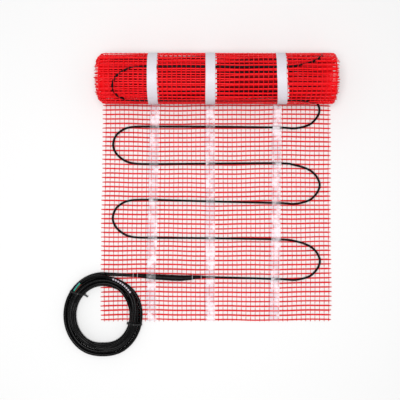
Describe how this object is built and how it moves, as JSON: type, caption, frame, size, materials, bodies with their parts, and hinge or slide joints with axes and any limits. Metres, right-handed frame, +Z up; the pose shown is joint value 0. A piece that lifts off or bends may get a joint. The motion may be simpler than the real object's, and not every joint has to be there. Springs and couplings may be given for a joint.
{
  "type": "underfloor heating mat",
  "caption": "Electric underfloor heating mat, partly unrolled: a heating cable laid in loops on an open net, held by tape strips, with a cold lead in a tied coil.",
  "frame": {"origin": "on the floor, in the middle of the mat and its roll, without the lead and its coil", "axes": "+X across the mat, +Y from its free end to the roll, +Z up from the floor"},
  "size_m": [0.5794, 0.6464, 0.1072],
  "materials": {
    "net": "satin red coating on glass fibre yarn",
    "tape": "milky, see-through, slightly wrinkled",
    "liner": "smooth white siliconised paper",
    "heating_cable": "satin black extruded sheath",
    "lead": "satin black extruded sheath",
    "sleeve": "satin black heat-shrink",
    "thread": "white polyester thread",
    "tie": "moulded black nylon",
    "core_earth": "green core insulation",
    "core_live": "brown core insulation",
    "core_neutral": "blue core insulation"
  },
  "bodies": {
    "root": {"net_panel_1_1": "net", "net_panel_1_2": "net", "net_panel_1_3": "net", "net_panel_2_1": "net", "net_panel_2_2": "net", "net_panel_2_3": "net", "mat_roll": "net", "fixing_tape_left": "tape", "liner_left": "liner", "liner_band_left": "liner", "fixing_tape_middle": "tape", "liner_middle": "liner", "liner_band_middle": "liner", "fixing_tape_right": "tape", "liner_right": "liner", "liner_band_right": "liner", "heating_cable": "heating_cable", "splice_sleeve": "sleeve", "splice_thread_1": "thread", "splice_thread_2": "thread", "splice_thread_3": "thread", "splice_thread_4": "thread", "lead_tail": "lead", "lead_coil": "lead", "lead_end": "lead", "core_live": "core_live", "core_earth": "core_earth", "core_neutral": "core_neutral", "coil_tie_1": "tie", "coil_tie_2": "tie"}
  },
  "joints": []
}
